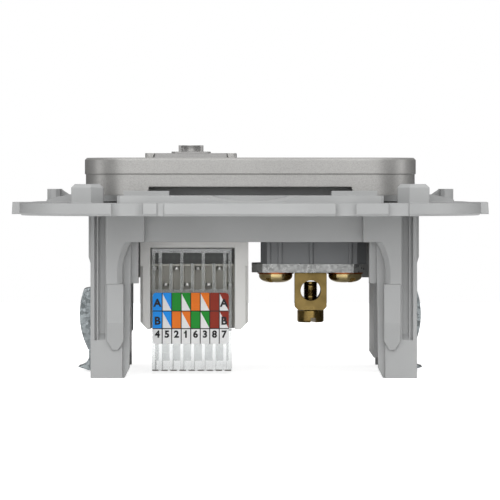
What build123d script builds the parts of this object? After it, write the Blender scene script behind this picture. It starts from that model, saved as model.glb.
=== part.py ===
from build123d import *

import os
from math import atan2, cos, degrees, radians, sin, tan

# Combined data and aerial wall socket for a 60 mm wall box, without its outer surround.
# Millimetres. Z = 0 is the wall plane, where the rear face of the flange bears on the wall.
# +Z points into the room, the claws are at -X and +X, and the wiring side faces -Y.

# Flange of the support frame
frame_side = 71.0
frame_corner_r = 17.5
flange_t = 1.8
flange_bevel = 0.3
wall_relief = 0.2
wall_relief_r = 29.9
root = 0.9
side_inset = 2.4
side_tab_w = 5.0
side_tab_draft = 3.0

# Edge features that lock neighbouring frames together
gang_x = 16.9
gang_depth = 1.7
gang_tongue_w = 4.6
gang_flare = 0.45
gang_relief_w = 2.8
gang_socket_w = 4.4
gang_socket_r = 1.4
gang_slit_w = 1.0
gang_lip = 1.9

# Raised pads that carry the cover, with the scoop and the slot for the box screws
pad_w = 37.0
pad_front = 33.5
pad_back = 20.6
pad_h = 1.05
pad_corner_cut = 0.4
scoop_w = 14.3
scoop_run = 6.0
box_screw_pitch = 60.0
box_slot_w = 3.8
box_slot_turn = 16.0
stop_w = 6.4
stop_x = 14.55
stop_y = 29.0
stop_t = 1.2
stop_h = 0.65

# Corner posts that centre the outer surround
post_outer = 25.1
post_inner = 20.7
post_front = 28.8
post_back = 25.6
post_cut = 1.6
post_h = 2.66
post_bevel = 0.5

# Snap towers for the outer surround, one on each side
tower_x = 30.2
tower_w = 1.9
tower_len = 6.4
tower_h = 1.95
fin_len = 1.4
fin_t = 1.2
fin_h = 1.0
ramp_outer = 30.2
ramp_inner = 25.4
ramp_t = 2.0
ramp_low = 0.35
ramp_high = 1.15

# Skirt under the flange
under_shift = 0.5
skirt_half_x = 23.5
skirt_half_y = 17.3
skirt_t = 1.5
skirt_h = 3.9
skirt_corner_r = 1.0
land_inner = 15.7
land_outer = 21.2
land_out = 1.4
land_h = 9.9
arch_r = 8.3
arch_drop = 4.4
arch_foot = 18.9

# Legs
leg_len = 23.5
leg_t = 1.5
leg_depth = 9.8
leg_step_z = 6.0
leg_step = 0.3
leg_toe = 0.7
lip_inner_top = 17.6
lip_inner_foot = 17.95
lip_back = 1.0
groove_outer = 22.35
groove_w = 0.95
groove_depth = 0.9
groove_len = 18.0
slit_gap = 0.2
slit_w = 0.35
slit_depth = 0.6
spine_w = 2.4
spine_out = 1.2
spine_end = 19.4
spine_bend = 15.5
spine_taper = 0.8
inner_tab_w = 0.9
inner_tab_t = 2.0
inner_tab_y = 14.3

# Guides for the claws, one behind each side window
claw_window = 15.0
guide_t = 1.0
guide_len = 21.0
web_t = 1.5
web_reach = 23.0
nut_side_gap = 0.12
rail_t = 1.85
rail_top = 12.2
claw_boss_w = 8.4
claw_boss_h = 2.0

# Claws and their screws
claw_slope = 20.0
claw_lift = 5.6
claw_w = 5.6
claw_t = 1.2
claw_face = 24.9
claw_top = 10.9
claw_tip = (24.72, -11.1)
claw_bulge = (25.3, -16.3)
claw_waist_x = 24.0
claw_belly_end = 20.3
claw_barb_top = 21.3
claw_barb_bend = (24.62, -22.25)
claw_barb_tip = (25.62, -22.7)
claw_low = 23.25
claw_foot_top = 20.2
claw_foot_inner = 20.2
claw_foot_t = 1.2
claw_slot_gap = 0.15
screw_x = 21.4
screw_r = 1.5
screw_head_r = 2.5
screw_head_h = 1.3
screw_sink = 0.1
screw_gap = 0.08
screw_end = 23.2
nut_w = 4.3
nut_h = 1.5
nut_gap = 0.05
slot_cut_w = 0.8
slot_cut_h = 0.7

# Cover
cover_side = 47.6
cover_corner_r = 6.5
cover_edge = 0.3
cover_band_h = 2.34
cover_skirt_h = 3.03
cover_skirt_inset = 0.15
cover_wall = 1.5
cover_top_t = 1.8
pry_w = 29.3
pry_h = 1.2
pry_lean = 0.3

# Raised rails and opening of the data outlet
jack_x = -8.75
bezel_w = 13.4
bezel_rail_w = 1.15
bezel_near = 8.4
bezel_h = 0.79
bezel_corner_cut = 0.3
port_w = 11.9
port_d = 8.2
port_y = 1.6
port_window_gap = 0.3

# Sliding shutter over the data outlet
shutter_gap = 0.05
shutter_lap = 0.35
shutter_lead = 0.62
shutter_t = 0.75
shutter_lift = 0.04
shutter_undercut = 0.22
plate_w = 5.7
plate_len = 6.4
plate_h = 0.24
plate_corner_cut = 0.45
grip_w = 3.6
grip_len = 3.4
grip_h = 0.92
grip_scoop_r = 1.7
grip_scoop_d = 0.75

# Data jack housing
jack_left = 7.45
jack_right = 8.45
jack_front = 8.0
jack_back = 8.4
jack_bottom = 16.9
jack_toe = 1.1
nose_w = 14.8
nose_front = 6.9
nose_back = 8.0
nose_top = 5.6
nose_gap = 0.15
nose_corner_cut = 0.4
nose_bevel = 0.3
port_depth = 15.2
latch_w = 6.4
latch_d = 1.5
comb_w = 8.6
comb_d = 1.5
comb_top = 3.4
recess_depth = 3.8
recess_top = 4.9
shoulder_z = 7.6
shoulder_in = 0.35

# Circuit board, terminal comb and contacts of the jack
board_t = 0.9
board_margin = 0.25
comb_margin = 0.05
comb_end_wall = 0.22
way_pitch = 1.58
way_shift = 0.26
ways = 8
comb_block_front = 7.3
comb_block_top = 7.3
comb_block_bottom = 16.4
comb_slot_w = 0.98
comb_slot_d = 1.7
comb_roof = 0.3
fork_w = 0.9
fork_t = 0.4
fork_upper_z = 8.0
fork_lower_z = 10.35
fork_notch = 0.3
fork_notch_len = 1.1
spring_pitch = 1.02
spring_w = 0.4
spring_t = 0.3
spring_heel_gap = 0.15
spring_foot_gap = 0.4
spring_bend = 1.0
spring_reach = 3.4
spring_tip_h = 7.0
carrier_w = 11.0
carrier_h = 3.0

# Clear wiring cap and its label
cap_left_gap = 0.24
cap_right_gap = 0.46
cap_front = 8.3
cap_plate_t = 0.7
cap_top = 5.05
cap_short_top = 7.2
cap_plate_top = 11.0
cap_bottom = 23.0
cap_rib_w = 0.46
cap_gap = 0.15
cap_under_gap = 0.2
cap_back = 1.6
cap_back_t = 0.8
cap_back_rise = 1.2
label_w = 11.18
label_top = 11.5
label_bottom = 19.0
label_t = 0.12
label_corner_cut = 0.35

# Aerial terminal
aerial_x = 9.0
body_left = 7.45
body_right = 8.2
body_half_y = 5.6
body_bottom = 7.35
body_corner_cut = 1.4
body_rib_w = 0.55
body_rib_out = 0.35
body_rib_places = (-6.3, -4.6, 0.0, 5.75)
neck_r = 7.2
neck_gap = 0.1
neck_top = 6.2
well_r = 6.4
well_depth = 9.0
aerial_window_gap = 0.3
sleeve_r = 4.75
sleeve_t = 0.45
sleeve_top = 5.4
seat_r = 5.4
seat_h = 1.6
insulator_r = 4.2
insulator_h = 3.2
pin_r = 1.15
pin_top = 4.6
pin_tip_h = 1.0
pin_tip_in = 0.6

# Clamp plate, its screws and washers
plate_left = 8.8
plate_right = 7.9
plate_t = 1.28
plate_half_y = 5.4
plate_corner = 1.6
plate_hole_gap = 0.25
clamp_screw_x = 5.2
clamp_screw_r = 1.45
clamp_head_r = 2.5
clamp_head_h = 1.3
clamp_head_rim = 0.4
clamp_washer_r = 2.7
clamp_washer_t = 0.3
clamp_depth = 2.6
fit_gap = 0.06

# Brass terminal block and its screw
block_w = 4.75
block_d = 5.2
block_top = 8.75
block_bottom = 14.3
block_bevel = 0.5
block_neck_r = 2.0
wire_hole_r = 1.51
wire_hole_z = 11.38
terminal_screw_r = 1.0
terminal_screw_tip = 10.1
terminal_tip_cut = 0.3
terminal_head_r = 2.0
terminal_head_h = 1.75
terminal_head_gap = 0.13
terminal_head_bevel = 0.25

# Levels that follow from the sizes above
pad_top = flange_t + pad_h
cover_step = pad_top + cover_skirt_h
cover_top = cover_step + cover_band_h
cover_under = cover_top - cover_top_t
port_front = port_y - port_d / 2
port_back = port_y + port_d / 2
recess_floor = jack_front - recess_depth
guide_inner = screw_x - nut_w / 2 - nut_side_gap - guide_t
ways_half = (ways - 1) / 2 * way_pitch + fork_w / 2
recess_left = ways_half - way_shift + comb_end_wall
recess_right = ways_half + way_shift + comb_end_wall
shutter_far = port_back + port_window_gap + shutter_lap
bezel_far = shutter_far + shutter_gap + bezel_rail_w


def polygon(*points):
    """Face with straight sides through the points."""
    return make_face(Polyline(*points, close=True))


def clipped(width, depth, cut):
    """Rectangle with its corners cut off."""
    return chamfer(Rectangle(width, depth).vertices(), cut)


def rise(plan, low, high):
    """Solid with the given plan between two heights."""
    return extrude(Pos(0, 0, low) * plan, high - low)


def front_view(profile, near, far):
    """Solid with the given X-Z profile between two values of Y."""
    return extrude(Plane.XZ.offset(-far) * profile, far - near)


def side_view(profile, left, right):
    """Solid with the given Y-Z profile between two values of X."""
    return extrude(Plane.YZ.offset(left) * profile, right - left)


def block(left, right, near, far, low, high):
    """Rectangular solid between two values of each coordinate."""
    centre = Pos((left + right) / 2, (near + far) / 2)
    return rise(centre * Rectangle(right - left, far - near), low, high)


def rod(x, y, radius, low, high):
    """Upright round solid."""
    return rise(Pos(x, y) * Circle(radius), low, high)


def both_sides(shape):
    """The shape and its mirror image across the middle plane X = 0."""
    return shape + mirror(shape, about=Plane.YZ)


def four_ways(shape):
    """The shape, mirrored across both middle planes."""
    pair = both_sides(shape)
    return pair + mirror(pair, about=Plane.XZ)


def half_turn_pair(shape):
    """The shape and its copy turned half a turn about the Z axis."""
    return shape + Rot(0, 0, 180) * shape


def gang_cuts():
    """Recesses along the wiring edge that leave the dovetail tongue and its socket."""
    edge = -frame_side / 2
    root = edge + gang_depth
    half = gang_tongue_w / 2
    outside = edge - 1
    recess_left_of_tongue = polygon(
        (gang_x - half - gang_relief_w, outside),
        (gang_x - half, outside),
        (gang_x - half, edge),
        (gang_x - half + gang_flare, root),
        (gang_x - half - gang_relief_w, root),
    )
    recess_right_of_tongue = mirror(recess_left_of_tongue, about=Plane.YZ.offset(gang_x))
    socket = Pos(-gang_x - half + gang_socket_w / 2, edge) * RectangleRounded(
        gang_socket_w, 2 * gang_depth, gang_socket_r
    )
    slit_x = -gang_x - half - gang_lip - gang_slit_w / 2
    slit = Pos(slit_x, edge) * Rectangle(gang_slit_w, gang_depth)
    step_x = -gang_x - half + gang_socket_w + gang_lip + gang_slit_w / 2
    step = Pos(step_x, edge) * Rectangle(gang_slit_w, gang_depth / 2)
    return rise(recess_left_of_tongue + recess_right_of_tongue + socket + slit + step, -1, flange_t + 1)


def flange():
    """Rounded square plate with side tabs and interlocking edges."""
    plan = RectangleRounded(frame_side - 2 * side_inset, frame_side, frame_corner_r)
    plate = rise(plan, 0, flange_t)
    plate = chamfer(plate.faces().sort_by(Axis.Z)[0].edges(), flange_bevel)
    plate += extrude(Rectangle(frame_side, side_tab_w), flange_t, taper=side_tab_draft)
    relief = rod(0, 0, wall_relief_r, -1, wall_relief)
    return plate - half_turn_pair(gang_cuts()) - relief


def cover_pad():
    """Raised pad on the wiring side, with its scoop and two cover stops."""
    depth = pad_front - pad_back
    middle = -(pad_front + pad_back) / 2
    pad = rise(Pos(0, middle) * clipped(pad_w, depth, pad_corner_cut), flange_t, pad_top)
    radius = ((scoop_w / 2) ** 2 + pad_h**2) / (2 * pad_h)
    tilt = degrees(atan2(pad_h, scoop_run))
    tool = Pos(0, 0, radius) * Rot(90, 0, 0) * Cylinder(radius, 4 * scoop_run)
    pad -= Pos(0, -pad_front, flange_t) * Rot(tilt, 0, 0) * tool
    near = -stop_y - stop_t / 2
    stop = block(stop_x - stop_w / 2, stop_x + stop_w / 2, near, near + stop_t, flange_t, pad_top + stop_h)
    return pad + both_sides(stop)


def corner_post():
    """Bevelled post in the corner at +X and -Y."""
    plan = polygon(
        (post_inner, -post_back),
        (post_inner, -post_front + post_cut),
        (post_inner + post_cut, -post_front),
        (post_outer, -post_front),
        (post_outer, -post_back),
    )
    post = rise(plan, flange_t, flange_t + post_h)
    return chamfer(post.faces().sort_by(Axis.Z)[-1].edges(), post_bevel)


def snap_tower():
    """Tower, fin and ramps that the outer surround snaps over, on the +X side."""
    tower_plan = Pos(tower_x - tower_w / 2, 0) * clipped(tower_w, tower_len, tower_w * 0.3)
    tower = rise(tower_plan, flange_t, flange_t + tower_h)
    inner = tower_x - tower_w
    fin_profile = polygon(
        (inner + tower_w / 2, flange_t),
        (inner + tower_w / 2, flange_t + tower_h),
        (inner, flange_t + tower_h),
        (inner - fin_len, flange_t + fin_h),
        (inner - fin_len, flange_t),
    )
    fin = front_view(fin_profile, -fin_t / 2, fin_t / 2)
    ramp_profile = polygon(
        (ramp_inner, flange_t),
        (ramp_outer, flange_t),
        (ramp_outer, flange_t + ramp_low),
        (inner - fin_len, flange_t + ramp_high),
        (ramp_inner, flange_t + ramp_high),
    )
    near = -tower_len / 2 - ramp_t / 2
    ramp = front_view(ramp_profile, near, near + ramp_t)
    return tower + fin + ramp + mirror(ramp, about=Plane.XZ)


def skirt():
    """Low wall round the mechanism."""
    outer = RectangleRounded(2 * skirt_half_x, 2 * skirt_half_y, skirt_corner_r)
    inner = Rectangle(2 * (skirt_half_x - skirt_t), 2 * (skirt_half_y - skirt_t))
    return rise(outer - inner, -skirt_h, root)


def arch_land():
    """Raised land at a corner of the skirt, with the arched edge that runs into the leg."""
    crown_x = arch_foot - arch_r + (arch_r**2 - arch_drop**2) ** 0.5
    spring_z = -skirt_h - arch_drop
    middle = radians(0.5 * degrees(atan2(arch_drop, (arch_r**2 - arch_drop**2) ** 0.5)))
    centre_x = arch_foot - arch_r
    edge = Polyline((arch_foot, spring_z), (arch_foot, -land_h), (land_outer, -land_h), (land_outer, root))
    edge += Polyline((land_outer, root), (land_inner, root), (land_inner, -skirt_h), (crown_x, -skirt_h))
    edge += ThreePointArc(
        (crown_x, -skirt_h),
        (centre_x + arch_r * cos(middle), spring_z + arch_r * sin(middle)),
        (arch_foot, spring_z),
    )
    land = front_view(make_face(edge), -skirt_half_y - land_out, -skirt_half_y + skirt_t)
    upright = land.edges().filter_by(Axis.Z).sort_by(Axis.Y)[:1]
    return chamfer(upright, land_out / 2)


def leg_spine():
    """Rib down the front of the leg, thinner towards its pointed end."""
    left = arch_foot - 0.2
    right = left + spine_w
    profile = polygon(
        (left, -land_h),
        (left, -spine_end + spine_taper * 1.6),
        (left + spine_taper, -spine_end),
        (right - spine_taper, -spine_end),
        (right, -spine_end + spine_taper * 1.6),
        (right, -land_h),
    )
    front = -skirt_half_y - spine_out
    rib = front_view(profile, front, -skirt_half_y + leg_t / 2)
    thinning = polygon(
        (front - 1, -spine_bend),
        (front, -spine_bend),
        (front + spine_out * 0.6, -spine_end - 0.1),
        (front - 1, -spine_end - 0.1),
    )
    return rib - side_view(thinning, left - 1, right + 1)


def leg():
    """Leg in the corner at +X and -Y, and the lip along its inner edge."""
    front = -skirt_half_y
    outer = skirt_half_x
    foot = -leg_len
    front_wall = front_view(
        polygon(
            (arch_foot, root), (outer, root), (outer, foot + leg_toe),
            (outer - leg_toe, foot), (arch_foot, foot),
        ),
        front, front + leg_t,
    )
    lip = front_view(
        polygon(
            (arch_foot + leg_t, root), (lip_inner_top, root), (lip_inner_foot, foot + 2 * leg_toe),
            (lip_inner_foot + leg_toe, foot), (arch_foot + leg_t, foot),
        ),
        front + lip_back, front + lip_back + leg_t,
    )
    side_wall = side_view(
        polygon(
            (front, root), (front + leg_depth, root), (front + leg_depth, foot + leg_toe),
            (front + leg_depth - leg_toe, foot), (front, foot),
        ),
        outer - leg_t, outer,
    )
    shoulder = front_view(
        polygon(
            (outer - leg_t, root), (outer + leg_step, root), (outer + leg_step, -leg_step_z),
            (outer, -leg_step_z - 1), (outer - leg_t, -leg_step_z - 1),
        ),
        front + slit_depth, front + leg_depth,
    )
    tab = block(
        lip_inner_top - inner_tab_w, lip_inner_top + leg_t,
        -inner_tab_y - inner_tab_t / 2, -inner_tab_y + inner_tab_t / 2, -land_h, root,
    )
    return front_wall + side_wall + shoulder + tab, lip


def leg_grooves():
    """Groove and slit down the front of a leg, from the flange's underside."""
    front = -skirt_half_y
    groove_profile = polygon(
        (front - 1, wall_relief), (front + groove_depth, wall_relief),
        (front + groove_depth, -groove_len + groove_depth), (front - 1, -groove_len - 1),
    )
    groove = side_view(groove_profile, groove_outer - groove_w, groove_outer)
    slit = block(
        groove_outer + slit_gap, groove_outer + slit_gap + slit_w,
        front - 1, front + slit_depth, -groove_len, wall_relief,
    )
    return groove + slit


def under_frame():
    """Skirt, arched lands and four legs, the front two with an inner lip."""
    walls, lip = leg()
    corner = walls + arch_land() + leg_spine()
    body = skirt() + four_ways(corner) + both_sides(lip)
    return Pos(under_shift, 0) * (body - four_ways(leg_grooves()))


def claw_guide():
    """Channel behind the window on the +X side, with rails that push the claw outward."""
    half = claw_window / 2
    foot = -guide_len
    plate = block(guide_inner, guide_inner + guide_t, -half - web_t, half + web_t, foot, root)
    web = block(guide_inner, web_reach, -half - web_t, -half, foot, root)
    lean = tan(radians(claw_slope))
    face = claw_foot_inner - 2 * claw_slot_gap
    high_x = face + (claw_foot_top - rail_top) * lean
    rail_profile = polygon(
        (guide_inner + guide_t / 2, -claw_foot_top),
        (face, -claw_foot_top),
        (high_x, -rail_top),
        (guide_inner + guide_t / 2, -rail_top + (high_x - guide_inner) / 2),
    )
    rail_near = -nut_w / 2 - nut_side_gap
    rail = front_view(rail_profile, rail_near - rail_t, rail_near)
    boss = block(guide_inner, skirt_half_x, -claw_boss_w / 2, claw_boss_w / 2, -claw_boss_h, root)
    return plate + boss + web + mirror(web, about=Plane.XZ) + rail + mirror(rail, about=Plane.XZ)


def claw_screw_hole():
    """Clearance hole and counterbore for the claw screw on the +X side."""
    bottom_of_head = flange_t - screw_sink - screw_head_h
    hole = rod(screw_x, 0, screw_r + screw_gap, -max(claw_boss_h, skirt_h) - 1, flange_t + 1)
    return hole + rod(screw_x, 0, screw_head_r + screw_gap, bottom_of_head, flange_t + 1)


def frame_openings():
    """Openings through the flange for the two modules and the box screws."""
    nose_middle = Pos(jack_x, (nose_back - nose_front) / 2)
    nose = nose_middle * Rectangle(nose_w + 2 * nose_gap, nose_front + nose_back + 2 * nose_gap)
    neck = Pos(aerial_x, 0) * Circle(neck_r + neck_gap)
    arc = CenterArc((0, 0), box_screw_pitch / 2, -90 - box_slot_turn / 2, box_slot_turn)
    slot = SlotArc(arc, box_slot_w)
    return rise(nose + neck + slot + Rot(0, 0, 180) * slot, -1, pad_top + 1)


def support_frame():
    """One moulding: flange, pads, posts, towers, skirt, legs and claw guides."""
    body = flange() + half_turn_pair(cover_pad())
    body += four_ways(corner_post())
    body += both_sides(snap_tower())
    body += under_frame()
    body += both_sides(claw_guide())
    return body - frame_openings() - both_sides(claw_screw_hole())


def shutter_channel(gap, low, high):
    """Dovetail strip between the rails, open towards the wiring side, with a gap all round."""
    foot = bezel_w / 2 - bezel_rail_w - shutter_gap + gap
    lean = shutter_undercut / shutter_t
    rise_from_foot = high - low
    profile = polygon(
        (jack_x - foot, low), (jack_x + foot, low),
        (jack_x + foot - lean * rise_from_foot, high), (jack_x - foot + lean * rise_from_foot, high),
    )
    return front_view(profile, -bezel_near - gap, shutter_far + gap)


def cover_plate():
    """Square cover with a stepped edge, rails for the shutter and two outlet openings."""
    inner_side = cover_side - 2 * cover_skirt_inset - 2 * cover_wall
    skirt_side = cover_side - 2 * cover_skirt_inset
    skirt_part = rise(
        RectangleRounded(skirt_side, skirt_side, cover_corner_r - cover_skirt_inset), pad_top, cover_step
    )
    band = rise(RectangleRounded(cover_side, cover_side, cover_corner_r), cover_step, cover_top)
    band = chamfer(band.faces().sort_by(Axis.Z)[-1].edges(), cover_edge)
    hollow = rise(
        RectangleRounded(inner_side, inner_side, cover_corner_r - cover_wall), pad_top - 1, cover_under
    )
    rails_plan = Pos(jack_x, (bezel_far - bezel_near) / 2) * clipped(
        bezel_w, bezel_near + bezel_far, bezel_corner_cut
    )
    rails = rise(rails_plan, cover_top - cover_top_t / 2, cover_top + bezel_h)
    channel = shutter_channel(shutter_gap, cover_top, cover_top + bezel_h + shutter_gap)
    pry_profile = polygon(
        (-pry_w / 2, pad_top - 1), (pry_w / 2, pad_top - 1),
        (pry_w / 2, pad_top), (pry_w / 2 - pry_lean, pad_top + pry_h),
        (-pry_w / 2 + pry_lean, pad_top + pry_h), (-pry_w / 2, pad_top),
    )
    pry = front_view(pry_profile, -cover_side, cover_side)
    window = port_window_gap * 2
    port = rise(
        Pos(jack_x, port_y) * Rectangle(port_w + window, port_d + window), cover_under - 1, cover_top + 1
    )
    aerial = rod(aerial_x, 0, well_r + aerial_window_gap, cover_under - 1, cover_top + 1)
    return skirt_part + band - hollow + (rails - channel) - pry - port - aerial


def shutter():
    """Sliding leaf held by the rails, with a raised step and a scooped finger grip."""
    bottom = cover_top + shutter_lift
    top = bottom + shutter_t
    near = -bezel_near
    leaf = shutter_channel(0, bottom, top)
    ramp = polygon((near - 1, bottom - 1), (near, bottom), (near + shutter_lead, top), (near - 1, top))
    leaf -= side_view(ramp, jack_x - bezel_w, jack_x + bezel_w)
    step_near = near + shutter_lead + shutter_lap
    step = rise(
        Pos(jack_x, step_near + plate_len / 2) * clipped(plate_w, plate_len, plate_corner_cut),
        top - shutter_t / 2, top + plate_h,
    )
    grip_base = top + plate_h
    grip = block(
        jack_x - grip_w / 2, jack_x + grip_w / 2, step_near, step_near + grip_len,
        top, grip_base + grip_h,
    )
    scoop_y = step_near - grip_scoop_r + grip_scoop_d
    scoop = Pos(jack_x, scoop_y, grip_base + grip_h / 2) * Sphere(grip_scoop_r)
    return leaf + step + (grip - scoop)


def jack_housing():
    """Moulded jack body with its nose, plug cavity and wiring recess."""
    left = jack_x - jack_left
    right = jack_x + jack_right
    outline = polygon(
        (left, wall_relief), (right, wall_relief), (right, -jack_bottom + jack_toe), (right - jack_toe, -jack_bottom),
        (left + jack_toe, -jack_bottom), (left, -jack_bottom + jack_toe),
    )
    body = front_view(outline, -jack_front, jack_back)
    nose_middle = Pos(jack_x, (nose_back - nose_front) / 2)
    nose = rise(
        nose_middle * clipped(nose_w, nose_front + nose_back, nose_corner_cut), -1, nose_top
    )
    body += chamfer(nose.faces().sort_by(Axis.Z)[-1].edges(), nose_bevel)
    cavity_plan = Pos(jack_x, port_y) * Rectangle(port_w, port_d)
    latch_plan = Pos(jack_x, port_y + port_d / 2) * Rectangle(latch_w, 2 * latch_d)
    floor = nose_top - port_depth
    body -= rise(cavity_plan + latch_plan, floor, nose_top + 1)
    body -= rise(Pos(jack_x, port_y) * Rectangle(carrier_w, port_d), floor - carrier_h, nose_top)
    body -= block(
        jack_x - comb_w / 2, jack_x + comb_w / 2, port_front - comb_d, port_front + 1, floor - carrier_h, comb_top
    )
    recess = block(
        jack_x - recess_left, jack_x + recess_right, -jack_front - 1, -recess_floor,
        -jack_bottom - 1, -recess_top,
    )
    body -= recess
    ease = block(left - 1, left + shoulder_in, -jack_front - 1, -jack_front + shoulder_in * 2,
                 -jack_bottom - 1, -shoulder_z)
    ease += block(right - shoulder_in, right + 1, -jack_front - 1, -jack_front + shoulder_in * 2,
                  -jack_bottom - 1, -shoulder_z)
    return body - ease


def contact_carrier():
    """Insulator at the foot of the plug cavity that holds the contact springs."""
    top = nose_top - port_depth
    half = carrier_w / 2 - board_margin / 5
    near = port_front + board_margin / 5
    far = port_y + port_d / 2 - board_margin / 5
    return block(jack_x - half, jack_x + half, near, far, top - carrier_h, top - 0.1)


def contact_springs():
    """Eight bent wires that press on the plug's contacts."""
    floor = nose_top - port_depth
    heel = port_front - comb_d + spring_heel_gap
    foot = floor - carrier_h + spring_foot_gap
    crown = comb_top - spring_bend
    lean_y = spring_reach - spring_bend
    strip = polygon(
        (heel, foot), (heel + spring_t, foot), (heel + spring_t, crown - spring_t / 2),
        (heel + spring_bend, crown + spring_bend / 2 - spring_t),
        (port_front + lean_y, floor + spring_tip_h),
        (port_front + lean_y + spring_t, floor + spring_tip_h + spring_t / 2),
        (heel + spring_bend, crown + spring_bend / 2 + spring_t / 2), (heel, crown),
    )
    springs = []
    for way in range(ways):
        middle = jack_x + (way - (ways - 1) / 2) * spring_pitch
        springs.append(side_view(strip, middle - spring_w / 2, middle + spring_w / 2))
    return springs


def circuit_board():
    """Small board at the back of the wiring recess."""
    return block(
        jack_x - recess_left + board_margin, jack_x + recess_right - board_margin,
        -recess_floor - board_t, -recess_floor,
        -jack_bottom + board_margin * 2, -recess_top - board_margin,
    )


def way_x(way):
    """Middle of a wiring way, counted from the left."""
    return jack_x + way_shift + (way - (ways - 1) / 2) * way_pitch


def terminal_comb():
    """Grooved insulator that holds the wire forks in two rows."""
    far = -recess_floor - board_t
    body = block(
        jack_x - recess_left + comb_margin, jack_x + recess_right - comb_margin,
        -comb_block_front, far, -comb_block_bottom, -comb_block_top,
    )
    for way in range(ways):
        body -= block(
            way_x(way) - comb_slot_w / 2, way_x(way) + comb_slot_w / 2,
            -comb_block_front - 1, -comb_block_front + comb_slot_d,
            -comb_block_bottom - 1, -comb_block_top - comb_roof,
        )
    return body


def wire_forks():
    """Eight slotted blades that cut into the wires, in two staggered rows."""
    root = -comb_block_front + comb_slot_d
    tip = -comb_block_front + 0.15
    blade = polygon(
        (-fork_w / 2, root), (-fork_w / 2, tip + 0.3), (-fork_w / 2 + 0.2, tip),
        (-fork_notch / 2, tip + 0.1), (-fork_notch / 2, tip + fork_notch_len),
        (fork_notch / 2, tip + fork_notch_len), (fork_notch / 2, tip + 0.1),
        (fork_w / 2 - 0.2, tip), (fork_w / 2, tip + 0.3), (fork_w / 2, root),
    )
    forks = []
    for way in range(ways):
        level = -fork_upper_z if way % 2 == 0 else -fork_lower_z
        forks.append(rise(Pos(way_x(way), 0) * blade, level - fork_t / 2, level + fork_t / 2))
    return forks


def wire_cap():
    """Clear comb that presses the wires home, with their outlets along its lower edge."""
    left = jack_x - recess_left + cap_left_gap
    right = jack_x + recess_right - cap_right_gap
    face = -cap_front
    inside = face + cap_plate_t
    cap = block(left, right, face, inside, -cap_bottom, -cap_plate_top)
    under = -jack_bottom - cap_under_gap
    cap += block(left, right, -cap_back - cap_back_t, -cap_back, -cap_bottom + cap_back_rise, under)
    for wall in range(ways + 1):
        x = way_x(0) + (wall - 0.5) * way_pitch
        x = min(max(x, left + cap_rib_w / 2), right - cap_rib_w / 2)
        top = cap_top if wall % 2 == 1 or wall in (0, ways) else cap_short_top
        cap += block(x - cap_rib_w / 2, x + cap_rib_w / 2, face + 0.1, -comb_block_front - cap_gap, -cap_plate_top, -top)
        cap += block(x - cap_rib_w / 2, x + cap_rib_w / 2, inside - 0.2, -cap_back - 0.1, -cap_bottom, under)
    cap += block(left, right, face + 0.1, -comb_block_front - cap_gap, -cap_top - 0.6, -cap_top)
    return cap


def wiring_label():
    """Label on the front of the wiring cap."""
    middle = (label_top + label_bottom) / 2
    plan = Pos(jack_x, -middle) * clipped(label_w, label_bottom - label_top, label_corner_cut)
    return front_view(plan, -cap_front - label_t, -cap_front)


def aerial_body():
    """Dark moulding with its neck, socket well and moulded ribs."""
    left = aerial_x - body_left
    right = aerial_x + body_right
    plan = Pos((left + right) / 2, 0) * clipped(right - left, 2 * body_half_y, body_corner_cut)
    body = rise(plan, -body_bottom, wall_relief) + rod(aerial_x, 0, neck_r, -1, neck_top)
    for place in body_rib_places:
        x = aerial_x + place
        body += block(
            x - body_rib_w / 2, x + body_rib_w / 2,
            -body_half_y - body_rib_out, -body_half_y + 1, -body_bottom, -0.5,
        )
    well_floor = neck_top - well_depth
    body -= rod(aerial_x, 0, well_r, well_floor, neck_top + 1)
    body -= rod(aerial_x, 0, seat_r, well_floor - seat_h, neck_top)
    body -= rod(aerial_x, 0, block_neck_r + fit_gap, -body_bottom - 1, well_floor)
    for side in (-1, 1):
        x = aerial_x + side * clamp_screw_x
        body -= rod(x, 0, clamp_screw_r + fit_gap, -body_bottom - 1, -body_bottom + clamp_depth)
    return body


def outer_sleeve():
    """Turned sleeve of the aerial outlet with its seating flange."""
    well_floor = neck_top - well_depth
    base = well_floor - seat_h
    inner = sleeve_r - sleeve_t
    profile = polygon(
        (inner, base), (seat_r - fit_gap, base), (seat_r - fit_gap, well_floor),
        (sleeve_r, well_floor), (sleeve_r, sleeve_top), (inner, sleeve_top),
    )
    return Pos(aerial_x, 0) * revolve(Plane.XZ * profile, Axis.Z)


def insulator():
    """White disc that centres the pin inside the sleeve."""
    base = neck_top - well_depth - seat_h
    ring = Circle(insulator_r) - Circle(pin_r)
    return rise(Pos(aerial_x, 0) * ring, base, base + insulator_h)


def centre_pin():
    """Turned pin of the aerial outlet with a tapered tip."""
    base = neck_top - well_depth - seat_h
    pin = rod(aerial_x, 0, pin_r, base, pin_top)
    return chamfer(pin.edges().sort_by(Axis.Z)[-1], pin_tip_h, pin_tip_in)


def terminal_block():
    """Brass block with a cross hole for the wire and a neck up to the pin."""
    profile = polygon(
        (-block_w / 2, -block_top), (-block_w / 2, -block_bottom + block_bevel),
        (-block_w / 2 + block_bevel, -block_bottom), (block_w / 2 - block_bevel, -block_bottom),
        (block_w / 2, -block_bottom + block_bevel), (block_w / 2, -block_top),
    )
    body = front_view(profile, -block_d / 2, block_d / 2)
    base = neck_top - well_depth - seat_h
    body += rod(0, 0, block_neck_r, -block_top - 0.5, base)
    wire_hole = Pos(0, -wire_hole_z) * Circle(wire_hole_r)
    body -= front_view(wire_hole, -block_d, block_d)
    body -= rod(0, 0, terminal_screw_r + fit_gap, -block_bottom - 1, -wire_hole_z)
    return Pos(aerial_x, 0) * body


def slotted(head, x, y, radius, low):
    """Cut a screwdriver slot into the lower face of a head."""
    return head - block(x - radius - 1, x + radius + 1, y - slot_cut_w / 2, y + slot_cut_w / 2, low - 1, low + slot_cut_h)


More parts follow.
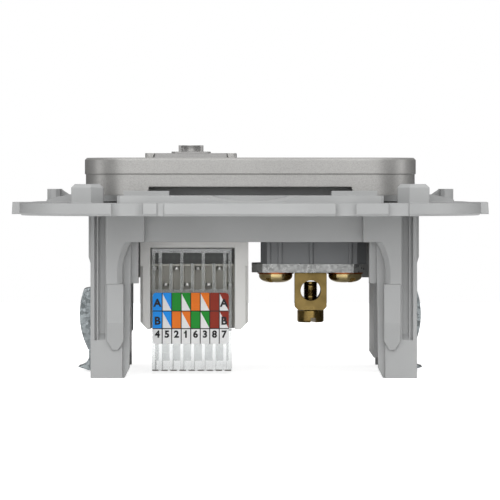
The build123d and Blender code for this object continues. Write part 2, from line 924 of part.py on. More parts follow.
def terminal_screw():
    """Cheese head screw under the brass block."""
    head_top = -block_bottom - terminal_head_gap
    head_bottom = head_top - terminal_head_h
    head = rod(aerial_x, 0, terminal_head_r, head_bottom, head_top)
    head = chamfer(head.edges().sort_by(Axis.Z)[0], terminal_head_bevel)
    head = slotted(head, aerial_x, 0, terminal_head_r, head_bottom)
    shank = rod(aerial_x, 0, terminal_screw_r, head_top - 0.2, -terminal_screw_tip)
    return head + chamfer(shank.edges().sort_by(Axis.Z)[-1], terminal_tip_cut)


def clamp_plate():
    """Thick sheared plate that clamps the screen of the aerial lead."""
    left = aerial_x - plate_left
    right = aerial_x + plate_right
    middle = Pos((left + right) / 2, 0)
    plan = middle * clipped(right - left, 2 * plate_half_y, plate_corner)
    plan -= Pos(aerial_x, 0) * Rectangle(block_w + 2 * plate_hole_gap, block_d + 2 * plate_hole_gap)
    for side in (-1, 1):
        plan -= Pos(aerial_x + side * clamp_screw_x, 0) * Circle(clamp_screw_r + 2 * fit_gap)
    return rise(plan, -body_bottom - plate_t, -body_bottom)


def clamp_screw(side):
    """Pan head screw that holds the clamp plate."""
    x = aerial_x + side * clamp_screw_x
    head_top = -body_bottom - plate_t - clamp_washer_t
    head_bottom = head_top - clamp_head_h
    dome = polygon(
        (0, head_top), (clamp_head_r, head_top), (clamp_head_r, head_top - clamp_head_rim),
        (clamp_head_r * 0.72, head_bottom), (0, head_bottom),
    )
    head = Pos(x, 0) * revolve(Plane.XZ * dome, Axis.Z)
    head = slotted(head, x, 0, clamp_head_r, head_bottom)
    return head + rod(x, 0, clamp_screw_r, head_top - 0.2, -body_bottom + clamp_depth - 0.4)


def clamp_washer(side):
    """Copper washer between a clamp screw's head and the plate."""
    x = aerial_x + side * clamp_screw_x
    ring = Circle(clamp_washer_r) - Circle(clamp_screw_r + 2 * fit_gap)
    top = -body_bottom - plate_t
    return rise(Pos(x, 0) * ring, top - clamp_washer_t, top)


def claw():
    """Bent steel claw on the +X side: strap, biting tooth and slotted foot."""
    inner = claw_face - claw_t
    foot_low = -claw_foot_top - claw_foot_t
    outline = Polyline(
        (claw_foot_inner, -claw_foot_top), (inner - 0.4, -claw_foot_top), (inner, -claw_foot_top + 0.6),
        (inner, -claw_top), claw_tip,
    )
    belly_end = (claw_waist_x, -claw_belly_end)
    barb_top = (claw_waist_x, -claw_barb_top)
    outline += ThreePointArc(claw_tip, claw_bulge, belly_end)
    outline += Line(belly_end, barb_top)
    outline += ThreePointArc(barb_top, claw_barb_bend, claw_barb_tip)
    outline += Polyline(
        claw_barb_tip, (claw_waist_x, -claw_low), (inner, -claw_low), (inner, foot_low),
        (claw_foot_inner, foot_low), (claw_foot_inner, -claw_foot_top),
    )
    strap = front_view(make_face(outline), -claw_w / 2, claw_w / 2)
    spread = claw_lift * tan(radians(claw_slope))
    slot_length = 2 * (screw_r + claw_slot_gap) + spread
    slot_middle = screw_x - spread / 2
    slot = Pos(slot_middle, 0) * SlotOverall(slot_length, 2 * (screw_r + claw_slot_gap))
    return strap - rise(slot, foot_low - 1, -claw_foot_top + 0.5)


def claw_screw():
    """Slotted screw that draws the claw up, on the +X side."""
    head_top = flange_t - screw_sink
    head = rod(screw_x, 0, screw_head_r, head_top - screw_head_h, head_top)
    cut = block(
        screw_x - screw_head_r - 1, screw_x + screw_head_r + 1, -slot_cut_w / 2, slot_cut_w / 2,
        head_top - slot_cut_h, head_top + 1,
    )
    return head - cut + rod(screw_x, 0, screw_r, -screw_end, head_top - screw_head_h)


def claw_nut():
    """Square nut under the claw's foot, on the +X side."""
    top = -claw_foot_top - claw_foot_t
    plan = Pos(screw_x, 0) * (Rectangle(nut_w, nut_w) - Circle(screw_r + nut_gap))
    return rise(plan, top - nut_h, top)


def mirrored(shape):
    """The same piece on the -X side."""
    return mirror(shape, about=Plane.YZ)


def save(name, *solids):
    """Write one piece, or a group of like pieces, to its own file."""
    shape = solids[0] if len(solids) == 1 else Compound(children=list(solids))
    export_step(shape, os.path.join("parts", name + ".step"))


def main():
    os.makedirs("parts", exist_ok=True)
    save("support_frame", support_frame())
    save("cover_plate", cover_plate())
    save("shutter", shutter())
    save("jack_housing", jack_housing())
    save("contact_carrier", contact_carrier())
    save("contact_springs", *contact_springs())
    save("circuit_board", circuit_board())
    save("terminal_comb", terminal_comb())
    save("wire_forks", *wire_forks())
    save("wire_cap", wire_cap())
    save("wiring_label", wiring_label())
    save("aerial_body", aerial_body())
    save("outer_sleeve", outer_sleeve())
    save("insulator", insulator())
    save("centre_pin", centre_pin())
    save("terminal_block", terminal_block())
    save("terminal_screw", terminal_screw())
    save("clamp_plate", clamp_plate())
    save("clamp_screw_left", clamp_screw(-1))
    save("clamp_screw_right", clamp_screw(1))
    save("clamp_washer_left", clamp_washer(-1))
    save("clamp_washer_right", clamp_washer(1))
    save("claw_right", claw())
    save("claw_left", mirrored(claw()))
    save("claw_screw_right", claw_screw())
    save("claw_screw_left", mirrored(claw_screw()))
    save("claw_nut_right", claw_nut())
    save("claw_nut_left", mirrored(claw_nut()))


if __name__ == "__main__":
    main()
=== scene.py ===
"""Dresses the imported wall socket: its finishes, printed label, threads, studio and camera.

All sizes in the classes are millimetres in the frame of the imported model: X to the right, Z away from
the wall, and the wiring side towards -Y. Meshes are made in metres through the mm() function.
"""
import logging
import math
from dataclasses import dataclass
from dataclasses import field
from enum import Enum
from typing import Any
from typing import Mapping
from typing import Sequence

import bmesh
import bpy
from mathutils import Matrix
from mathutils import Vector


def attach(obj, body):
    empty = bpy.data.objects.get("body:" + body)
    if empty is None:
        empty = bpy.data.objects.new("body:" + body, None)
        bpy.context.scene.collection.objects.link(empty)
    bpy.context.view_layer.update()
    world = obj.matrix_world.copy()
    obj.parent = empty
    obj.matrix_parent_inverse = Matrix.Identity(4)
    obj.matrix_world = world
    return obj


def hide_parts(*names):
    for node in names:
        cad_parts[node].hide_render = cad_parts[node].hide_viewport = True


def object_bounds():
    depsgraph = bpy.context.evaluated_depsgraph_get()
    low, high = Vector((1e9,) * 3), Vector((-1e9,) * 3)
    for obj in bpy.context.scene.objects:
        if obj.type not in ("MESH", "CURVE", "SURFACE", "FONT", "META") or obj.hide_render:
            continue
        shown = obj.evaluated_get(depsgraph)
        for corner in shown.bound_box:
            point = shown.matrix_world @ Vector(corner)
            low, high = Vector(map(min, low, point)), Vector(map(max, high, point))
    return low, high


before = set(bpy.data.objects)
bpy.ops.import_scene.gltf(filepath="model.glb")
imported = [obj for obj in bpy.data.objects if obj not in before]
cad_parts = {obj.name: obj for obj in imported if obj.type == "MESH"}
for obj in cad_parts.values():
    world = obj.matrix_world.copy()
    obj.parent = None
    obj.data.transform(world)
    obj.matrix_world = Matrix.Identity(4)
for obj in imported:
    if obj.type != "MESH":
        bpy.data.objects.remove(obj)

cad_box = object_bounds()
log = logging.getLogger("socket")

Point = tuple[float, float, float]
Flat = tuple[float, float]
Colour = tuple[float, float, float, float]

# Nearly all values of Blender's noise lie between these two
NOISE_BAND = (0.3, 0.7)


class Side(Enum):
    """Which half of the socket a claw or a clamp screw belongs to."""

    LEFT = -1
    RIGHT = 1

    @property
    def word(self) -> str:
        """The side's name as it stands in the nodes and bodies."""
        return self.name.lower()


class Wire(Enum):
    """The four pair colours of a data cable, as printed on the label."""

    BLUE = "#0A98FA"
    GREEN = "#069226"
    ORANGE = "#F37B12"
    BROWN = "#94280E"


def mm(value: float) -> float:
    """Millimetres as metres."""
    return value / 1000.0


def srgb(code: str) -> Colour:
    """Turn an sRGB hex code into the linear colour that the shaders take.

    Args:
        code: colour as #RRGGBB.

    Returns:
        Linear red, green, blue and an alpha of one.
    """
    channels = [int(code[start : start + 2], 16) / 255 for start in (1, 3, 5)]
    linear = [c / 12.92 if c <= 0.04045 else ((c + 0.055) / 1.055) ** 2.4 for c in channels]
    return (linear[0], linear[1], linear[2], 1.0)


def add(
    tree: bpy.types.NodeTree,
    kind: str,
    settings: Mapping[str | int, Any] | None = None,
    links: Mapping[str | int, bpy.types.NodeSocket] | None = None,
) -> bpy.types.Node:
    """Add a node to a tree with its settings and incoming links.

    Args:
        tree: node tree that takes the node.
        kind: Blender's type name of the node.
        settings: values by property name, or by the name or number of an input socket.
        links: output sockets by the name or number of the input they feed.

    Returns:
        The new node.
    """
    node = tree.nodes.new(kind)
    for name, value in (settings or {}).items():
        if isinstance(name, str) and hasattr(node, name):
            setattr(node, name, value)
        else:
            node.inputs[name].default_value = value
    for name, source in (links or {}).items():
        tree.links.new(source, node.inputs[name])
    return node


def new_shader(name: str) -> tuple[bpy.types.Material, bpy.types.NodeTree, bpy.types.NodeSocket]:
    """Start a material with an empty tree.

    Args:
        name: name of the material.

    Returns:
        The material, its tree and the socket of the object coordinates.
    """
    material = bpy.data.materials.new(name)
    material.use_nodes = True
    tree = material.node_tree
    tree.nodes.clear()
    place = add(tree, "ShaderNodeTexCoord").outputs["Object"]
    return material, tree, place


def two_tone(
    tree: bpy.types.NodeTree, factor: bpy.types.NodeSocket, first: Colour, second: Colour
) -> bpy.types.NodeSocket:
    """Mix two colours by a factor.

    Args:
        tree: tree of the material.
        factor: where the second colour shows.
        first: colour at factor zero.
        second: colour at factor one.

    Returns:
        The mixed colour's socket.
    """
    node = add(tree, "ShaderNodeMix", {"data_type": "RGBA", 6: first, 7: second}, {0: factor})
    return node.outputs[2]


def span(
    tree: bpy.types.NodeTree, factor: bpy.types.NodeSocket, source: Sequence[float], target: Sequence[float]
) -> bpy.types.NodeSocket:
    """Map one range of values onto another, held at its ends.

    Args:
        tree: tree of the material.
        factor: value to map.
        source: lowest and highest value that comes in.
        target: the two values that these become.

    Returns:
        The mapped value's socket.
    """
    settings = {1: source[0], 2: source[1], 3: target[0], 4: target[1]}
    return add(tree, "ShaderNodeMapRange", settings, {0: factor}).outputs[0]


def shade(code: str, factor: float) -> Colour:
    """The linear colour of a hex code, made lighter or darker by a factor."""
    base = srgb(code)
    return (base[0] * factor, base[1] * factor, base[2] * factor, 1.0)


@dataclass(frozen=True)
class MouldedPlastic:
    """Opaque injection moulded plastic: ABS, polycarbonate or nylon, spark-eroded tool surface.

    The eye gets an even body colour with a slight cloudiness from flow, a fine grain that softens the
    highlight, and edges that catch light because no moulded edge is sharp.
    """

    name: str
    colour: str
    roughness: float = 0.42
    ior: float = 1.53
    grain_mm: float = 0.35
    grain_depth_mm: float = 0.006
    edge_mm: float = 0.18
    cloud_mm: float = 14.0
    cloud_share: float = 0.06

    def make(self) -> bpy.types.Material:
        """Build the material.

        Returns:
            The material, ready for a slot.
        """
        material, tree, place = new_shader(self.name)
        cloud = add(
            tree, "ShaderNodeTexNoise", {"Scale": 1000 / self.cloud_mm, "Detail": 3.0}, {"Vector": place}
        ).outputs[0]
        grain = add(
            tree, "ShaderNodeTexNoise", {"Scale": 1000 / self.grain_mm, "Detail": 2.0}, {"Vector": place}
        ).outputs[0]
        colour = two_tone(
            tree, span(tree, cloud, NOISE_BAND, (0, 1)),
            shade(self.colour, 1 + self.cloud_share), shade(self.colour, 1 - self.cloud_share),
        )
        gloss = span(tree, cloud, NOISE_BAND, (self.roughness - 0.05, self.roughness + 0.05))
        edge = add(tree, "ShaderNodeBevel", {"Radius": mm(self.edge_mm), "samples": 4}).outputs[0]
        bump = add(
            tree, "ShaderNodeBump", {"Strength": 0.6, "Distance": mm(self.grain_depth_mm)},
            {"Height": grain, "Normal": edge},
        ).outputs[0]
        body = add(
            tree, "ShaderNodeBsdfPrincipled", {"IOR": self.ior},
            {"Base Color": colour, "Roughness": gloss, "Normal": bump},
        )
        add(tree, "ShaderNodeOutputMaterial", None, {"Surface": body.outputs[0]})
        return material


@dataclass(frozen=True)
class MetallicPaint:
    """Aluminium flake lacquer sprayed on a moulded cover.

    Flat flakes under a matt binder give the eye a soft metallic sheen with tiny brighter and darker
    points. Real flakes are about 0.03 mm, too fine to show, so they are drawn at 0.09 mm.
    """

    name: str
    colour: str
    roughness: float = 0.4
    metallic: float = 0.6
    flake_mm: float = 0.09
    flake_share: float = 0.1
    flake_depth_mm: float = 0.003
    cloud_mm: float = 9.0
    edge_mm: float = 0.22

    def make(self) -> bpy.types.Material:
        """Build the material.

        Returns:
            The material, ready for a slot.
        """
        material, tree, place = new_shader(self.name)
        flake = add(
            tree, "ShaderNodeTexVoronoi", {"Scale": 1000 / self.flake_mm, "feature": "F1"},
            {"Vector": place},
        )
        tone = add(tree, "ShaderNodeSeparateColor", None, {0: flake.outputs["Color"]}).outputs[0]
        cloud = add(
            tree, "ShaderNodeTexNoise", {"Scale": 1000 / self.cloud_mm, "Detail": 3.0}, {"Vector": place}
        ).outputs[0]
        colour = two_tone(
            tree, tone, shade(self.colour, 1 - self.flake_share), shade(self.colour, 1 + self.flake_share)
        )
        gloss = span(tree, cloud, NOISE_BAND, (self.roughness - 0.05, self.roughness + 0.05))
        edge = add(tree, "ShaderNodeBevel", {"Radius": mm(self.edge_mm), "samples": 4}).outputs[0]
        bump = add(
            tree, "ShaderNodeBump", {"Strength": 0.3, "Distance": mm(self.flake_depth_mm)},
            {"Height": tone, "Normal": edge},
        ).outputs[0]
        body = add(
            tree, "ShaderNodeBsdfPrincipled", {"Metallic": self.metallic},
            {"Base Color": colour, "Roughness": gloss, "Normal": bump},
        )
        add(tree, "ShaderNodeOutputMaterial", None, {"Surface": body.outputs[0]})
        return material


@dataclass(frozen=True)
class RoughZinc:
    """Sheet steel, sheared and bent, then hot-dip galvanised.

    The zinc freezes in crystals, so the eye gets a glittering patchwork of light and dark facets on a
    lumpy surface.
    """

    name: str
    colour: str = "#8C9294"
    crystal_mm: float = 0.5
    lump_mm: float = 1.4
    lump_depth_mm: float = 0.1
    facet_depth_mm: float = 0.1
    contrast: float = 0.27
    metallic: float = 1.0
    roughness: float = 0.4

    def make(self) -> bpy.types.Material:
        """Build the material.

        Returns:
            The material, ready for a slot.
        """
        material, tree, place = new_shader(self.name)
        crystal = add(
            tree, "ShaderNodeTexVoronoi", {"Scale": 1000 / self.crystal_mm, "feature": "F1"},
            {"Vector": place},
        )
        tone = add(tree, "ShaderNodeSeparateColor", None, {0: crystal.outputs["Color"]})
        lump = add(
            tree, "ShaderNodeTexNoise", {"Scale": 1000 / self.lump_mm, "Detail": 5.0}, {"Vector": place}
        ).outputs[0]
        colour = two_tone(
            tree, tone.outputs[0],
            shade(self.colour, 1 - self.contrast), shade(self.colour, 1 + self.contrast),
        )
        gloss = span(tree, tone.outputs[1], (0, 1), (self.roughness - 0.14, self.roughness + 0.2))
        bump = add(
            tree, "ShaderNodeBump", {"Strength": 1.0, "Distance": mm(self.lump_depth_mm)},
            {"Height": lump},
        ).outputs[0]
        facet = add(
            tree, "ShaderNodeBump", {"Strength": 0.7, "Distance": mm(self.facet_depth_mm)},
            {"Height": tone.outputs[2], "Normal": bump},
        ).outputs[0]
        body = add(
            tree, "ShaderNodeBsdfPrincipled", {"Metallic": self.metallic},
            {"Base Color": colour, "Roughness": gloss, "Normal": facet},
        )
        add(tree, "ShaderNodeOutputMaterial", None, {"Surface": body.outputs[0]})
        return material


@dataclass(frozen=True)
class PlainMetal:
    """Machined or plated metal: brass, gold flash, copper, nickel, tin or bright zinc.

    The eye gets the metal's own colour, fine tool marks that stretch the highlight, and slight
    tarnish in patches.
    """

    name: str
    colour: str
    roughness: float = 0.28
    mark_mm: float = 0.12
    mark_depth_mm: float = 0.006
    patch_mm: float = 2.2
    patch_share: float = 0.14
    edge_mm: float = 0.08

    def make(self) -> bpy.types.Material:
        """Build the material.

        Returns:
            The material, ready for a slot.
        """
        material, tree, place = new_shader(self.name)
        patch = add(
            tree, "ShaderNodeTexNoise", {"Scale": 1000 / self.patch_mm, "Detail": 4.0}, {"Vector": place}
        ).outputs[0]
        mark = add(
            tree, "ShaderNodeTexNoise", {"Scale": 1000 / self.mark_mm, "Detail": 2.0}, {"Vector": place}
        ).outputs[0]
        colour = two_tone(
            tree, span(tree, patch, (0.35, 0.7), (0, 1)),
            srgb(self.colour), shade(self.colour, 1 - self.patch_share * 2),
        )
        gloss = span(tree, patch, NOISE_BAND, (self.roughness - 0.06, self.roughness + 0.1))
        edge = add(tree, "ShaderNodeBevel", {"Radius": mm(self.edge_mm), "samples": 4}).outputs[0]
        bump = add(
            tree, "ShaderNodeBump", {"Strength": 0.5, "Distance": mm(self.mark_depth_mm)},
            {"Height": mark, "Normal": edge},
        ).outputs[0]
        body = add(
            tree, "ShaderNodeBsdfPrincipled", {"Metallic": 1.0},
            {"Base Color": colour, "Roughness": gloss, "Normal": bump},
        )
        add(tree, "ShaderNodeOutputMaterial", None, {"Surface": body.outputs[0]})
        return material


@dataclass(frozen=True)
class ClearPolymer:
    """Clear polycarbonate, injection moulded, with faint flow waves.

    The eye looks through it and gets a slightly milky body with bright edges.
    """

    name: str
    colour: str = "#E6E8E8"
    ior: float = 1.585
    roughness: float = 0.05
    clearness: float = 0.82
    wave_mm: float = 1.4
    wave_depth_mm: float = 0.015

    def make(self) -> bpy.types.Material:
        """Build the material.

        Returns:
            The material, ready for a slot.
        """
        material, tree, place = new_shader(self.name)
        wave = add(
            tree, "ShaderNodeTexNoise", {"Scale": 1000 / self.wave_mm, "Detail": 2.0}, {"Vector": place}
        ).outputs[0]
        colour = two_tone(tree, wave, srgb(self.colour), shade(self.colour, 0.97))
        bump = add(
            tree, "ShaderNodeBump", {"Strength": 0.2, "Distance": mm(self.wave_depth_mm)},
            {"Height": wave},
        ).outputs[0]
        settings = {"IOR": self.ior, "Roughness": self.roughness, "Transmission Weight": self.clearness}
        body = add(
            tree, "ShaderNodeBsdfPrincipled", settings, {"Base Color": colour, "Normal": bump}
        )
        add(tree, "ShaderNodeOutputMaterial", None, {"Surface": body.outputs[0]})
        return material


@dataclass(frozen=True)
class PrintedFilm:
    """Self-adhesive polyester label, screen printed and laminated.

    The eye gets a flat ink colour with a low even sheen and a very slight mottle.
    """

    name: str
    colour: str
    roughness: float = 0.5
    ior: float = 1.5
    sheen_level: float = 0.3
    mottle_mm: float = 0.5
    mottle_depth_mm: float = 0.004

    def make(self) -> bpy.types.Material:
        """Build the material.

        Returns:
            The material, ready for a slot.
        """
        material, tree, place = new_shader(self.name)
        mottle = add(
            tree, "ShaderNodeTexNoise", {"Scale": 1000 / self.mottle_mm, "Detail": 2.0}, {"Vector": place}
        ).outputs[0]
        colour = two_tone(tree, mottle, shade(self.colour, 1.05), shade(self.colour, 0.93))
        bump = add(
            tree, "ShaderNodeBump", {"Strength": 0.3, "Distance": mm(self.mottle_depth_mm)},
            {"Height": mottle},
        ).outputs[0]
        settings = {"Roughness": self.roughness, "IOR": self.ior, "Specular IOR Level": self.sheen_level}
        body = add(
            tree, "ShaderNodeBsdfPrincipled", settings, {"Base Color": colour, "Normal": bump}
        )
        add(tree, "ShaderNodeOutputMaterial", None, {"Surface": body.outputs[0]})
        return material


@dataclass(frozen=True)
class BoardLaminate:
    """Glass-epoxy circuit board under dark green solder resist.

    The eye gets a glossy, nearly black green with the square weave of the glass cloth, 0.5 mm to a thread.
    """

    name: str
    colour: str = "#222B24"
    roughness: float = 0.3
    ior: float = 1.55
    thread_mm: float = 0.5
    thread_depth_mm: float = 0.01

    def make(self) -> bpy.types.Material:
        """Build the material.

        Returns:
            The material, ready for a slot.
        """
        material, tree, place = new_shader(self.name)
        scale = 1000 / self.thread_mm / math.tau
        weave = [
            add(
                tree, "ShaderNodeTexWave",
                {"wave_type": "BANDS", "bands_direction": way, "Scale": scale},
                {"Vector": place},
            ).outputs[1]
            for way in ("X", "Z")
        ]
        cloth = add(
            tree, "ShaderNodeMath", {"operation": "MULTIPLY"}, {0: weave[0], 1: weave[1]}
        ).outputs[0]
        colour = two_tone(tree, cloth, shade(self.colour, 0.85), shade(self.colour, 1.25))
        bump = add(
            tree, "ShaderNodeBump", {"Strength": 0.3, "Distance": mm(self.thread_depth_mm)},
            {"Height": cloth},
        ).outputs[0]
        settings = {"Roughness": self.roughness, "IOR": self.ior}
        body = add(
            tree, "ShaderNodeBsdfPrincipled", settings, {"Base Color": colour, "Normal": bump}
        )
        add(tree, "ShaderNodeOutputMaterial", None, {"Surface": body.outputs[0]})
        return material


@dataclass(frozen=True)
class LightTable:
    """Opal acrylic sheet of a shooting table, matt on top and lit from below.

    The eye gets an even white that hides most of the object's shadow. The lamps under the sheet sit
    below its grazing view, so the glow that the camera sees is stronger than the light they throw up.
    """

    name: str = "opal acrylic of the shooting table"
    colour: str = "#F7F7F7"
    roughness: float = 0.7
    ior: float = 1.49
    cloud_mm: float = 100 / 3
    glow: float = 0.04
    seen_glow: float = 0.8

    def make(self) -> bpy.types.Material:
        """Build the material.

        Returns:
            The material, ready for a slot.
        """
        material, tree, place = new_shader(self.name)
        cloud = add(
            tree, "ShaderNodeTexNoise", {"Scale": 1000 / self.cloud_mm, "Detail": 2.0}, {"Vector": place}
        ).outputs[0]
        colour = two_tone(tree, cloud, srgb(self.colour), shade(self.colour, 0.985))
        path = add(tree, "ShaderNodeLightPath")
        seen = add(
            tree, "ShaderNodeMath", {"operation": "MAXIMUM"},
            {0: path.outputs["Is Camera Ray"], 1: path.outputs["Is Transmission Ray"]},
        ).outputs[0]
        glow = span(tree, seen, (0, 1), (self.glow, self.seen_glow))
        white = (1.0, 1.0, 1.0, 1.0)
        settings = {"Roughness": self.roughness, "IOR": self.ior, "Emission Color": white}
        body = add(
            tree, "ShaderNodeBsdfPrincipled", settings, {"Base Color": colour, "Emission Strength": glow}
        )
        add(tree, "ShaderNodeOutputMaterial", None, {"Surface": body.outputs[0]})
        return material


def dress(node: str, material: bpy.types.Material) -> None:
    """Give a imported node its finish.

    Args:
        node: name of the node.
        material: the finish.
    """
    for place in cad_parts[node].material_slots:
        place.material = material
    log.info("dressed %s in %s", node, material.name)


def put(name: str, mesh: bpy.types.Mesh, body: str) -> bpy.types.Object:
    """Put a finished mesh into the scene, riding on its body.

    Args:
        name: name of the new piece.
        mesh: its mesh, already in place.
        body: the body that carries it.

    Returns:
        The new object.
    """
    piece = bpy.data.objects.new(name, mesh)
    bpy.context.scene.collection.objects.link(piece)
    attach(piece, body)
    log.info("made %s on %s: %d faces", name, body, len(mesh.polygons))
    return piece


def prism(
    work: bmesh.types.BMesh, outline: Sequence[Flat], near: float, far: float, index: int = 0
) -> None:
    """Add a closed prism whose outline lies in the X-Z plane.

    Args:
        work: mesh that takes the prism.
        outline: corners in millimetres, in order.
        near: lower Y of the prism.
        far: higher Y of the prism.
        index: material slot of its faces.
    """
    front = [work.verts.new((mm(x), mm(near), mm(z))) for x, z in outline]
    back = [work.verts.new((mm(x), mm(far), mm(z))) for x, z in outline]
    faces = [work.faces.new(front), work.faces.new(list(reversed(back)))]
    count = len(outline)
    for corner in range(count):
        following = (corner + 1) % count
        faces.append(work.faces.new((front[following], front[corner], back[corner], back[following])))
    for face in faces:
        face.material_index = index


def finish_mesh(
    name: str, work: bmesh.types.BMesh, materials: Sequence[bpy.types.Material]
) -> bpy.types.Mesh:
    """Turn a work mesh into a mesh with outward faces.

    Args:
        name: name of the mesh.
        work: the work mesh, which is freed.
        materials: its materials, in slot order.

    Returns:
        The finished mesh.
    """
    bmesh.ops.recalc_face_normals(work, faces=work.faces)
    mesh = bpy.data.meshes.new(name)
    work.to_mesh(mesh)
    work.free()
    for material in materials:
        mesh.materials.append(material)
    return mesh


def smooth(mesh: bpy.types.Mesh, angle: float = 35.0) -> bpy.types.Mesh:
    """Shade a mesh smoothly except across edges sharper than an angle in degrees."""
    mesh.shade_smooth()
    mesh.set_sharp_from_angle(angle=math.radians(angle))
    return mesh


def lathe(name: str, profile: Sequence[Flat], segments: int = 48) -> bpy.types.Mesh:
    """Turn a profile round the Z axis into a closed solid.

    Args:
        name: name of the mesh.
        profile: radius and height of each ring in millimetres, from one end to the other.
        segments: faces round the solid.

    Returns:
        The solid as a mesh, closed by a flat face at each end.
    """
    work = bmesh.new()
    angles = [2 * math.pi * step / segments for step in range(segments)]
    rings = [
        [work.verts.new((mm(radius * math.cos(a)), mm(radius * math.sin(a)), mm(height))) for a in angles]
        for radius, height in profile
    ]
    for lower, upper in zip(rings, rings[1:]):
        for place in range(segments):
            following = (place + 1) % segments
            work.faces.new((lower[place], lower[following], upper[following], upper[place]))
    work.faces.new(rings[0])
    work.faces.new(rings[-1])
    return finish_mesh(name, work, [])


def cut_away(mesh: bpy.types.Mesh, low: Point, high: Point) -> bpy.types.Mesh:
    """Cut a box out of a closed mesh.

    Args:
        mesh: the mesh to cut.
        low: lowest corner of the box in millimetres.
        high: highest corner of the box.

    Returns:
        The mesh that is left.
    """
    work = bmesh.new()
    outline = [(low[0], low[2]), (high[0], low[2]), (high[0], high[2]), (low[0], high[2])]
    prism(work, outline, low[1], high[1])
    cutter = bpy.data.objects.new("cutter", finish_mesh("cutter", work, []))
    carrier = bpy.data.objects.new("to cut", mesh)
    for piece in (cutter, carrier):
        bpy.context.scene.collection.objects.link(piece)
    modifier = carrier.modifiers.new("cut", "BOOLEAN")
    modifier.operation = "DIFFERENCE"
    modifier.solver = "EXACT"
    modifier.object = cutter
    graph = bpy.context.evaluated_depsgraph_get()
    left = bpy.data.meshes.new_from_object(carrier.evaluated_get(graph))
    carrier.modifiers.remove(modifier)
    bpy.data.objects.remove(carrier)
    bpy.data.objects.remove(cutter)
    return left


def joined(name: str, parts: Sequence[bpy.types.Mesh], material: bpy.types.Material) -> bpy.types.Mesh:
    """Join closed meshes into one with a single finish.

    Args:
        name: name of the mesh.
        parts: the meshes.
        material: the finish of all of them.

    Returns:
        The joined mesh.
    """
    work = bmesh.new()
    for part in parts:
        work.from_mesh(part)
    for face in work.faces:
        face.material_index = 0
    return finish_mesh(name, work, [material])


class Recipe:
    """A Geometry Nodes tree with named inputs, turned into a plain mesh."""

    def __init__(self, name: str, inputs: Mapping[str, float]) -> None:
        """Start the tree.

        Args:
            name: name of the tree.
            inputs: its named sizes with their values.
        """
        self.values = dict(inputs)
        self.tree = bpy.data.node_groups.new(name, "GeometryNodeTree")
        for label, value in inputs.items():
            kind = "NodeSocketInt" if isinstance(value, int) else "NodeSocketFloat"
            self.tree.interface.new_socket(label, in_out="INPUT", socket_type=kind)
        self.tree.interface.new_socket("Geometry", in_out="OUTPUT", socket_type="NodeSocketGeometry")
        self.start = add(self.tree, "NodeGroupInput")

    def size(self, label: str) -> bpy.types.NodeSocket:
        """The socket of a named input."""
        return self.start.outputs[label]

    def math(self, operation: str, first: Any, second: Any) -> bpy.types.NodeSocket:
        """Work out a value from two sockets or numbers.

        Args:
            operation: Blender's name of the operation.
            first: first socket or number.
            second: second socket or number.

        Returns:
            The result's socket.
        """
        node = add(self.tree, "ShaderNodeMath", {"operation": operation})
        for place, value in enumerate((first, second)):
            if isinstance(value, (int, float)):
                node.inputs[place].default_value = value
            else:
                self.tree.links.new(value, node.inputs[place])
        return node.outputs[0]

    def bake(
        self, name: str, shape: bpy.types.NodeSocket, material: bpy.types.Material, place: Matrix
    ) -> bpy.types.Mesh:
        """End the tree, evaluate it and move the result to its place.

        Args:
            name: name of the mesh.
            shape: the tree's last geometry.
            material: finish of the mesh.
            place: where the mesh goes.

        Returns:
            A plain mesh.
        """
        real = add(self.tree, "GeometryNodeRealizeInstances", None, {0: shape}).outputs[0]
        done = add(self.tree, "GeometryNodeSetMaterial", {"Material": material}, {"Geometry": real})
        add(self.tree, "NodeGroupOutput", None, {0: done.outputs[0]})
        carrier = bpy.data.objects.new(name + " carrier", bpy.data.meshes.new(name + " carrier"))
        bpy.context.scene.collection.objects.link(carrier)
        modifier = carrier.modifiers.new("recipe", "NODES")
        modifier.node_group = self.tree
        for item in self.tree.interface.items_tree:
            if item.in_out == "INPUT":
                modifier[item.identifier] = self.values[item.name]
        graph = bpy.context.evaluated_depsgraph_get()
        mesh = bpy.data.meshes.new_from_object(carrier.evaluated_get(graph))
        carrier.modifiers.remove(modifier)
        bpy.data.objects.remove(carrier)
        mesh.name = name
        mesh.transform(place)
        mesh.update()
        return mesh


def bar_row(
    name: str, count: int, pitch: float, size: Point, first: Point, material: bpy.types.Material,
    along: Point = (1.0, 0.0, 0.0),
) -> bpy.types.Mesh:
    """A row of equal bars made by Geometry Nodes.

    Args:
        name: name of the mesh.
        count: number of bars.
        pitch: distance from bar to bar.
        size: a bar's sizes along X, Y and Z.
        first: middle of the first bar.
        material: finish of the bars.
        along: direction of the row.

    Returns:
        The bars as one plain mesh.
    """
    width, depth, height = [mm(c) for c in size]
    recipe = Recipe(
        name, {"Count": count, "Pitch": mm(pitch), "Width": width, "Depth": depth, "Height": height}
    )
    step = add(recipe.tree, "ShaderNodeCombineXYZ")
    for place, share in enumerate(along):
        recipe.tree.links.new(recipe.math("MULTIPLY", recipe.size("Pitch"), share), step.inputs[place])
    line = add(
        recipe.tree, "GeometryNodeMeshLine", {"mode": "OFFSET"},
        {"Count": recipe.size("Count"), "Offset": step.outputs[0]},
    )
    extent = add(
        recipe.tree, "ShaderNodeCombineXYZ", None,
        {0: recipe.size("Width"), 1: recipe.size("Depth"), 2: recipe.size("Height")},
    )
    bar = add(recipe.tree, "GeometryNodeMeshCube", None, {"Size": extent.outputs[0]})
    row = add(
        recipe.tree, "GeometryNodeInstanceOnPoints", None,
        {"Points": line.outputs[0], "Instance": bar.outputs[0]},
    )
    return recipe.bake(name, row.outputs[0], material, Matrix.Translation([mm(c) for c in first]))


